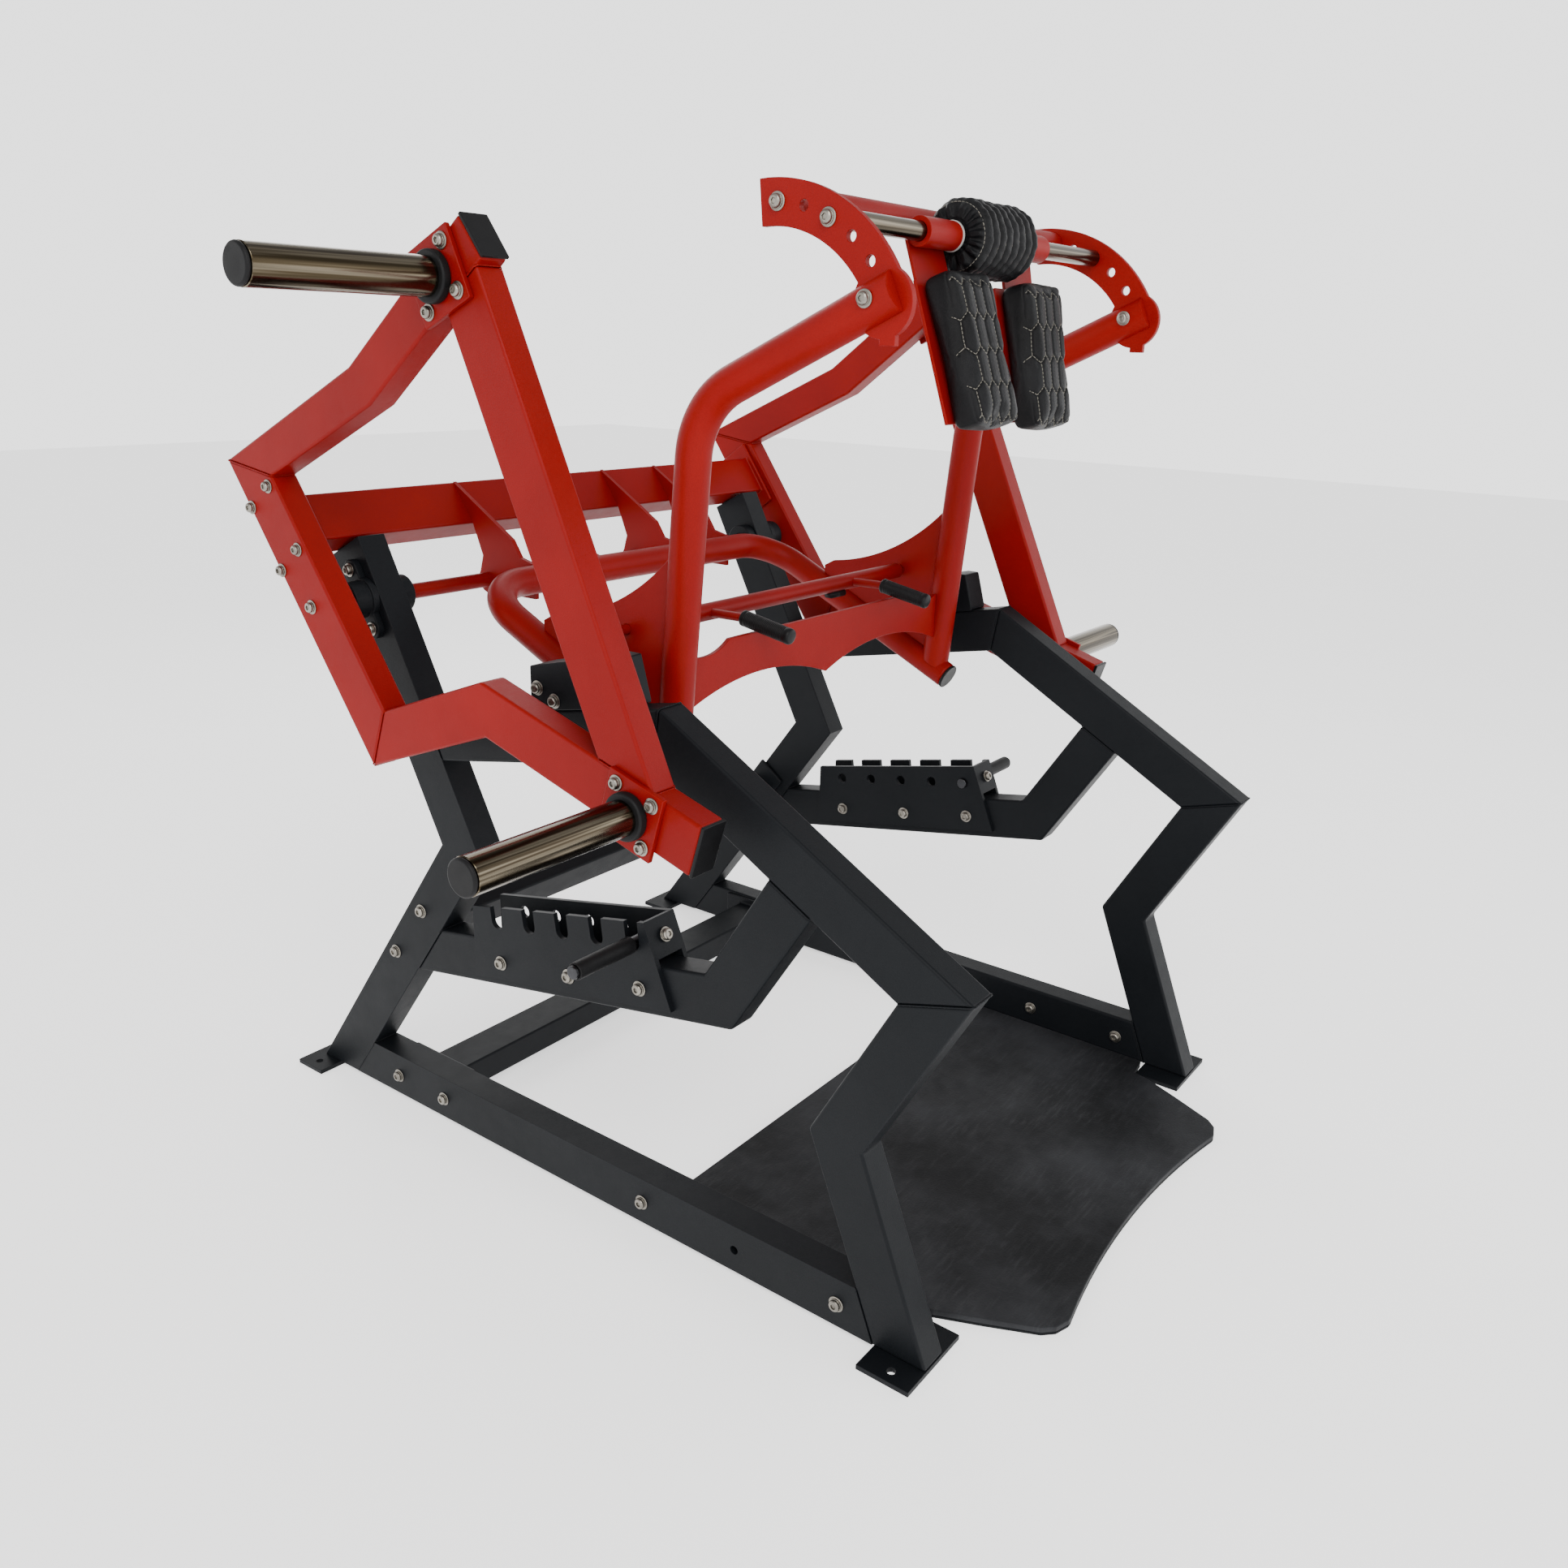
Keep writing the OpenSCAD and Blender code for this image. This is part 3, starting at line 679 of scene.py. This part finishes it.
def stitches(verts, faces, path, r, stitch):
    """Adds thread stitches along path, a list of (point, outward normal)."""
    def close(end_r):
        if len(points) > 2:
            radii = [end_r] + [r] * (len(points) - 2) + [end_r]
            tube_rings(verts, faces, points, radii, THREAD_SIDES)

    run = 0.0
    points = []
    for (p, n), (q, m) in zip(path, path[1:]):
        run += (q - p).length
        phase = run % (stitch + STITCH_GAP)
        if phase < stitch:
            rise = STITCH_RISE * math.sin(math.pi * (phase / stitch))
            points.append((p + q) / 2 + (n + m).normalized() * rise)
        elif points:
            close(r * 0.5)
            points = []
    close(r)


# ---------------------------------------------------------------- shoulder pads
# The pads' own sizes and forward lean; the frame only has the boxes round the leaning pads.
LEAN = {"left": math.radians(19), "right": math.radians(11.5)}
PAD_W, PAD_T, PAD_H = 0.120, 0.053, 0.210
PAD_EDGE_R = 0.0155
PUFF_FRAMES, PUFF_PRESSURE, PUFF_LIMIT = 20, 4.0, 0.0038
CELL_W, CELL_SIDE, CELL_SLANT = 0.0252, 0.034, 0.0115
PAD_STITCH, PAD_THREAD_R = 0.0046, 0.00062


def inflate(obj, frames, pressure, limit):
    """Cloth pressure puffs the piece; no point moves further than limit."""
    start = np.array([v.co[:] for v in obj.data.vertices])
    mod = obj.modifiers.new("puff", "CLOTH")
    cloth = mod.settings
    cloth.quality = 5
    cloth.mass = 0.25
    cloth.tension_stiffness = 18
    cloth.compression_stiffness = 18
    cloth.shear_stiffness = 8
    cloth.bending_stiffness = 0.6
    cloth.use_pressure = True
    cloth.uniform_pressure_force = pressure
    cloth.effector_weights.gravity = 0
    mod.collision_settings.use_collision = False
    mod.point_cache.frame_start = 1
    mod.point_cache.frame_end = frames
    scene = bpy.context.scene
    for f in range(1, frames + 1):
        scene.frame_set(f)
    dg = bpy.context.evaluated_depsgraph_get()
    puffed = np.array([v.co[:] for v in obj.evaluated_get(dg).data.vertices])
    obj.modifiers.remove(mod)
    scene.frame_set(1)
    move = puffed - start
    length = np.linalg.norm(move, axis=1, keepdims=True)
    move *= np.minimum(1.0, limit / np.maximum(length, 1e-9))
    obj.data.vertices.foreach_set("co", (start + move).ravel())
    obj.data.update()


def honeycomb(width, height):
    """Edges, as ((x, z), (x, z)), of the tall cells whose middles lie on a panel about the origin."""
    pitch = CELL_SIDE + CELL_SLANT
    rows = int(height / pitch) + 2
    cols = int(width / CELL_W) + 2
    edges = []
    for j in range(-rows, rows):
        z = j * pitch
        shift = CELL_W / 2 if j % 2 else 0.0
        for i in range(-cols, cols):
            x = i * CELL_W + shift
            top = (x, z + CELL_SIDE)
            edges.append(((x, z), top))
            edges.append((top, (x + CELL_W / 2, z + pitch)))
            edges.append((top, (x - CELL_W / 2, z + pitch)))
    return [(p, q) for p, q in edges
            if abs(p[0] + q[0]) / 2 < width / 2 and abs(p[1] + q[1]) / 2 < height / 2]


def edge_distance(points, edges):
    """Distance from each (x, z) point to the nearest edge."""
    best = np.full(len(points), 9.0)
    for p, q in edges:
        p = np.array(p)
        d = np.array(q) - p
        t = np.clip(((points - p) @ d) / (d @ d), 0, 1)
        best = np.minimum(best, np.linalg.norm(points - (p + t[:, None] * d), axis=1))
    return best


def pad_blank(name):
    """The plump pad before it is quilted, about the origin with its front toward -Y."""
    # a little smaller than the pad, because it puffs out
    bm = rounded_box((PAD_W * 0.97, PAD_T * 0.90, PAD_H * 0.975), PAD_EDGE_R, segments=6, profile=0.6)
    mesh = bpy.data.meshes.new(name)
    bm.to_mesh(mesh)
    bm.free()
    obj = bpy.data.objects.new(name, mesh)
    coll.objects.link(obj)
    remesh = obj.modifiers.new("remesh", "REMESH")
    remesh.mode = "VOXEL"
    remesh.voxel_size = 0.0045
    bake(obj)
    inflate(obj, PUFF_FRAMES, PUFF_PRESSURE, PUFF_LIMIT)
    smooth = obj.modifiers.new("sub", "SUBSURF")
    smooth.levels = 2
    smooth.render_levels = 2
    bake(obj)
    return obj


def quilt(obj, edges):
    """Presses a groove along every edge into the front and a seam round the side."""
    mesh = obj.data
    co = np.empty(len(mesh.vertices) * 3)
    normal = np.empty(len(mesh.vertices) * 3)
    mesh.vertices.foreach_get("co", co)
    mesh.vertices.foreach_get("normal", normal)
    co, normal = co.reshape(-1, 3), normal.reshape(-1, 3)
    # the back lies flat on its steel plate
    co[:, 1] = np.minimum(co[:, 1], PAD_T / 2 - 0.0004)
    d = edge_distance(co[:, [0, 2]], edges)
    front = np.clip((-normal[:, 1] - 0.50) / 0.30, 0, 1)
    side = 1 - np.clip(np.abs(normal[:, 1]) * 1.6, 0, 1)
    groove = 0.0023 * np.exp(-(d / 0.0020) ** 2)
    cushion = 0.0016 * np.clip(d / 0.010, 0, 1)
    seam = 0.0016 * np.exp(-((co[:, 1] + PAD_T * 0.27) / 0.0013) ** 2)
    co -= normal * ((groove - cushion) * front + seam * side)[:, None]
    mesh.vertices.foreach_set("co", co.ravel())
    mesh.update()
    mesh.polygons.foreach_set("use_smooth", [True] * len(mesh.polygons))


def pad_thread(obj, edges):
    """Vertices and faces of the stitches that lie in the grooves on the pad's front."""
    bm = bmesh.new()
    bm.from_mesh(obj.data)
    tree = BVHTree.FromBMesh(bm)
    bm.free()
    verts, faces = [], []
    for p, q in edges:
        path = []
        steps = int(math.hypot(q[0] - p[0], q[1] - p[1]) / 0.00045)
        for k in range(steps + 1):
            t = k / steps
            in_front = Vector((p[0] + (q[0] - p[0]) * t, -0.2, p[1] + (q[1] - p[1]) * t))
            hit, normal = tree.ray_cast(in_front, Vector((0, 1, 0)))[:2]
            if hit is not None and normal.y <= -0.62:
                path.append((hit + normal * 0.0002, normal))
        if len(path) > 6:
            stitches(verts, faces, path, PAD_THREAD_R, PAD_STITCH)
    return verts, faces


def shoulder_pad(side):
    node = side + "_shoulder_pad"
    centre = node_box(node)[2]
    place = Matrix.Translation(centre) @ Matrix.Rotation(-LEAN[side], 4, "X")
    obj = pad_blank(side + "_pad_cover")
    edges = honeycomb(PAD_W * 1.02, PAD_H)
    quilt(obj, edges)
    verts, faces = pad_thread(obj, edges)
    obj.data.materials.append(M["leather"])
    obj.data.transform(place)
    obj.data.update()
    verts = [place @ v for v in verts]
    mesh_obj(side + "_pad_stitching", verts, faces, "thread", side + "_pad")
    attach(obj, side + "_pad")
    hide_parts(node)


for side in SIDES:
    shoulder_pad(side)


# ---------------------------------------------------------------- roller pad
RIBS = 8
RIBBED = 0.077                          # the ribs run this far each way from the middle
RIB_PITCH = 2 * RIBBED / RIBS
RIBBED_SHARE = 0.72                     # the ribbed middle's part of the samples along the roller
ALONG, AROUND = 220, 288
NECK_R, MOUTH_R = 0.0185, 0.0150        # the gathered ends narrow to the neck, then fold into the mouth
NECK_AT = 0.9
ROLLER_STITCH, ROLLER_THREAD_R = 0.0048, 0.0006


def sway(t, phase):
    """How far a stitched ring wanders along X at angle t."""
    return 0.0007 * math.sin(5 * t + phase[2])


def ribbed(x, t, radius, phase):
    """(x, radius) on the ribbed middle."""
    rib = math.sin(math.pi * (((x + RIBBED) / RIB_PITCH) % 1.0)) ** 0.55
    wobble = 0.0006 * math.sin(9 * t + phase[0] + x * 60) + 0.0004 * math.sin(23 * t + phase[1] - x * 90)
    near_end = max(0.0, 1 - (RIBBED - abs(x)) / 0.012)
    r = radius - 0.0062 + 0.0056 * rib + wobble * rib - 0.0022 * near_end
    return x + sway(t, phase), r


def gathered(way, e, t, radius, half, phase):
    """(x, radius) on a pleated end: way is -1 or 1, and e runs from 0 at the ribs to 1 at the mouth."""
    past_neck = (e - NECK_AT) / (1 - NECK_AT)
    if past_neck > 0:
        r = NECK_R - (NECK_R - MOUTH_R) * past_neck
        x = half - 0.006 * past_neck
    else:
        angle = e * math.pi / 2
        shoulder = radius - 0.0072
        r = shoulder - (shoulder - NECK_R) * (1 - math.cos(angle)) ** 0.75
        x = RIBBED + (half - RIBBED) * math.sin(min(angle * 1.25, math.pi / 2))
        x -= 0.004 * max(0, e - 0.75) / 0.25
    pleat = math.sin(15 * t + 1.6 * math.sin(2 * t + phase[3]) + 0.8 * math.sin(5 * t + phase[4]))
    fold = math.copysign(abs(pleat) ** 0.6, pleat)
    depth = 0.0042 * math.sin(math.pi * min(1.0, e * 1.05)) ** 0.8
    r += depth * fold * (0.7 + 0.3 * math.sin(3 * t + phase[5]))
    x += 0.0022 * fold * math.sin(math.pi * e)
    return way * x, r


def roller():
    """Cover with eight ribs and gathered ends, and a ring of stitches in every groove."""
    lo, hi, centre = node_box("roller_pad")
    half = (hi.x - lo.x) / 2 - 0.001
    radius = (hi.z - lo.z) / 2
    phase = np.random.default_rng(11).uniform(0, TURN, 6)
    verts, faces = [], []
    for i in range(ALONG + 1):
        s = -1 + 2 * i / ALONG
        for k in range(AROUND):
            t = TURN * k / AROUND
            if abs(s) < RIBBED_SHARE:
                x, r = ribbed(s / RIBBED_SHARE * RIBBED, t, radius, phase)
            else:
                e = (abs(s) - RIBBED_SHARE) / (1 - RIBBED_SHARE)
                x, r = gathered(math.copysign(1, s), e, t, radius, half, phase)
            x = max(-half, min(half, x))
            verts.append(centre + Vector((x, r * math.cos(t), r * math.sin(t))))
    # closed, so that the mouths join through the roller's middle
    skin(faces, 0, ALONG + 1, AROUND, closed=True)
    obj = mesh_obj("roller_cover", verts, faces, "leather", "roller")
    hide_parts("roller_pad")

    verts, faces = [], []
    steps = 900
    for j in range(RIBS + 1):
        x = -RIBBED + j * RIB_PITCH
        r = radius - 0.0060 - (0.0022 if j in (0, RIBS) else 0) + 0.0005
        path = []
        for k in range(steps + 1):
            t = TURN * k / steps
            out = Vector((0, math.cos(t), math.sin(t)))
            path.append((centre + Vector((x + sway(t, phase), 0, 0)) + out * r, out))
        stitches(verts, faces, path, ROLLER_THREAD_R, ROLLER_STITCH)
    mesh_obj("roller_stitching", verts, faces, "thread", "roller")


roller()


# ---------------------------------------------------------------- white bushings
def bushing(side):
    """White bushing between the roller and the collar beside it."""
    hi, centre = node_box("roller_pad")[1:]
    out = -X_AXIS if side == "left" else X_AXIS
    verts, faces = [], []
    lathe(verts, faces, centre + out * (hi.x - centre.x + 0.0006), out,
          [(0, 0.0150), (0.0002, 0.0192), (0.0010, 0.0205), (0.0042, 0.0205), (0.0050, 0.0197)], 48)
    mesh_obj(side + "_bushing", verts, faces, "white", side + "_pad")


for side in SIDES:
    bushing(side)


# ---------------------------------------------------------------- hand grips
GRIP_DIR = Vector((0, -0.094, -0.017)).normalized()
GRIP_LENGTH = 0.0955
BLOCK_WIDTH = 0.035                     # the block between the handles is wider than this in X
RIDGES = 26
RIDGE_FROM, RIDGE_TO = 0.008, 0.012     # plain stretches before the first ridge and after the last


def grip_profile():
    """(distance, radius) of a ridged grip with a flange at each end."""
    pitch = (GRIP_LENGTH - RIDGE_FROM - RIDGE_TO) / RIDGES
    profile = [(0.0, 0.008), (0.0, 0.0118), (0.0012, 0.0128), (0.0045, 0.0129), (0.0058, 0.0122)]
    for k in range(RIDGES):
        d = RIDGE_FROM + pitch * k
        profile += [(d, 0.0119), (d + pitch * 0.25, 0.0126), (d + pitch * 0.6, 0.0126),
                    (d + pitch * 0.85, 0.0119)]
    tail = [(0.0115, 0.0122), (0.009, 0.0129), (0.004, 0.0129), (0.0012, 0.0118), (0, 0.0090)]
    return profile + [(GRIP_LENGTH - back, r) for back, r in tail]


def grips():
    verts, faces = [], []
    for part in islands("handle_grips"):
        lo, hi = box_of(part)
        centre = (lo + hi) / 2
        if hi.x - lo.x > BLOCK_WIDTH:
            bm = rounded_box(hi - lo, 0.002, segments=3, profile=0.0)
            base = len(verts)
            verts += [v.co + centre for v in bm.verts]
            bm.verts.index_update()
            faces += [tuple(base + v.index for v in f.verts) for f in bm.faces]
            bm.free()
        else:
            lathe(verts, faces, centre - GRIP_DIR * GRIP_LENGTH / 2, GRIP_DIR, grip_profile(), 40)
    obj = mesh_obj("grip_covers", verts, faces, "plastic", "release")
    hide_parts("handle_grips")


grips()


# ---------------------------------------------------------------- stage and light
FLOOR_HALF = 14.0
HORIZON_UP, OVERHEAD_UP = 0.22, 0.55    # the height on the unit sky where the change starts and ends
HORIZON_LIGHT, OVERHEAD_LIGHT = 2.3, 0.7


def studio_floor():
    s = FLOOR_HALF
    mesh = bpy.data.meshes.new("studio_floor")
    mesh.from_pydata([(-s, -s, 0), (s, -s, 0), (s, s, 0), (-s, s, 0)], [], [(0, 1, 2, 3)])
    floor = bpy.data.objects.new("studio_floor", mesh)
    coll.objects.link(floor)
    mat = Mat("floor_paper")
    mat.set("Base Color", mat.ramp(mat.noise(2.0, 3), [(0.3, 0.93), (0.7, 0.95)]))
    mat.set("Roughness", 0.9)
    mat.set("Specular IOR Level", 0.1)
    mat.set("Emission Color", (1.0, 1.0, 1.0, 1.0))
    mat.set("Emission Strength", 1.0)
    floor.data.materials.append(mat.material)


def studio_world():
    """A white surround that is bright near the horizon and dimmer overhead."""
    world = bpy.data.worlds.new("studio")
    bpy.context.scene.world = world
    world.use_nodes = True
    tree = world.node_tree
    background = tree.nodes["Background"]
    background.inputs["Color"].default_value = (1.0, 1.0, 1.0, 1)
    coords = tree.nodes.new("ShaderNodeTexCoord")
    split = tree.nodes.new("ShaderNodeSeparateXYZ")
    tree.links.new(coords.outputs["Generated"], split.inputs[0])
    light = tree.nodes.new("ShaderNodeMapRange")
    tree.links.new(split.outputs["Z"], light.inputs["Value"])
    for socket, value in (("From Min", HORIZON_UP), ("From Max", OVERHEAD_UP),
                          ("To Min", HORIZON_LIGHT), ("To Max", OVERHEAD_LIGHT)):
        light.inputs[socket].default_value = value
    tree.links.new(light.outputs["Result"], background.inputs["Strength"])


def area_light(name, place, target, size, power, colour=(1, 1, 1)):
    data = bpy.data.lights.new(name, "AREA")
    data.energy = power
    data.size = size
    data.color = colour
    lamp = bpy.data.objects.new(name, data)
    coll.objects.link(lamp)
    lamp.location = place
    lamp.rotation_euler = (Vector(target) - Vector(place)).to_track_quat("-Z", "Y").to_euler()


studio_floor()
studio_world()
area_light("key", (-2.6, -2.2, 3.6), (0, 0, 0.8), size=2.2, power=120, colour=(1.0, 0.98, 0.95))
area_light("fill", (2.8, -3.0, 2.2), (0, 0, 0.8), size=2.6, power=25, colour=(0.95, 0.97, 1.0))
area_light("rim", (1.8, 3.0, 3.0), (0, 0, 0.9), size=2.0, power=35)
